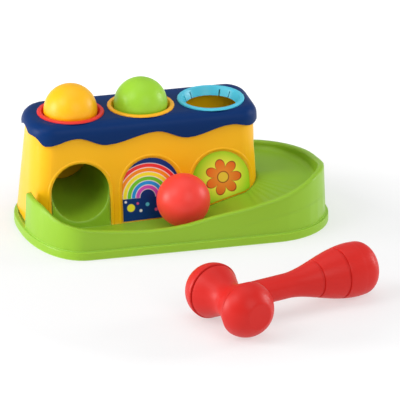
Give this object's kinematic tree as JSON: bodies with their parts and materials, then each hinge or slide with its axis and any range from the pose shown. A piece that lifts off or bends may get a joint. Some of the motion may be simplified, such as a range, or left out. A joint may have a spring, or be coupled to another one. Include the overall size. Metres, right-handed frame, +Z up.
{
  "type": "pounding ball toy",
  "caption": "Moulded plastic pounding toy: balls sit in collars on a wavy roof, drop through an arched house and roll round a spiral track tray; a mallet lies beside it.",
  "frame": {"origin": "centre of the whole set's footprint on the floor", "axes": "+Z up, +X to the toy's right, +Y to the toy's back; the front faces -Y"},
  "size_m": [0.264, 0.3632, 0.1209],
  "materials": {
    "green_plastic": "satin moulded",
    "yellow_plastic": "satin moulded",
    "navy_plastic": "satin moulded",
    "sticker_navy": "printed film",
    "sticker_lime": "printed film",
    "collar_red": "satin moulded",
    "collar_orange": "satin moulded",
    "collar_cyan": "satin moulded",
    "ball_yellow": "glossy moulded",
    "ball_green": "glossy moulded",
    "ball_red": "glossy moulded",
    "red_plastic": "satin moulded",
    "screw_steel": "zinc plated"
  },
  "bodies": {
    "toy": {"base_tray": "green_plastic", "house_shell": "yellow_plastic", "roof_cover": "navy_plastic", "outlet_scoop": "green_plastic", "ramp_gutter": "green_plastic", "sticker_middle": "sticker_navy", "sticker_right": "sticker_lime", "collar_left": "collar_red", "collar_middle": "collar_orange", "collar_right": "collar_cyan", "base_screw_1": "screw_steel", "base_screw_2": "screw_steel", "base_screw_3": "screw_steel", "base_screw_4": "screw_steel", "scoop_screw": "screw_steel", "gutter_screw_1": "screw_steel", "gutter_screw_2": "screw_steel", "roof_screw_1": "screw_steel", "roof_screw_2": "screw_steel", "roof_screw_3": "screw_steel", "roof_screw_4": "screw_steel"},
    "yellow_ball": {"ball_yellow_front_half": "ball_yellow", "ball_yellow_rear_half": "ball_yellow"},
    "green_ball": {"ball_green_front_half": "ball_green", "ball_green_rear_half": "ball_green"},
    "red_ball": {"ball_red_front_half": "ball_red", "ball_red_rear_half": "ball_red"},
    "mallet": {"mallet_head": "red_plastic", "mallet_cap_front": "red_plastic", "mallet_cap_rear": "red_plastic", "mallet_handle": "red_plastic"}
  },
  "joints": [
    {"name": "yellow_ball_drop", "type": "slide", "parent": "toy", "child": "yellow_ball", "axis": [0, 0, 1], "range_m": [-0.0588, 0.05], "deforming": ["collar_left"]},
    {"name": "green_ball_drop", "type": "slide", "parent": "toy", "child": "green_ball", "axis": [0, 0, 1], "range_m": [-0.0352, 0.05], "deforming": ["collar_middle"]},
    {"name": "red_ball_roll", "type": "slide", "parent": "toy", "child": "red_ball", "axis": [0.9996, 0, 0.03], "range_m": [-0.083, 0.003]},
    {"name": "mallet_lift", "type": "slide", "parent": "toy", "child": "mallet", "axis": [0, 0, 1], "range_m": [0, 0.15]}
  ]
}
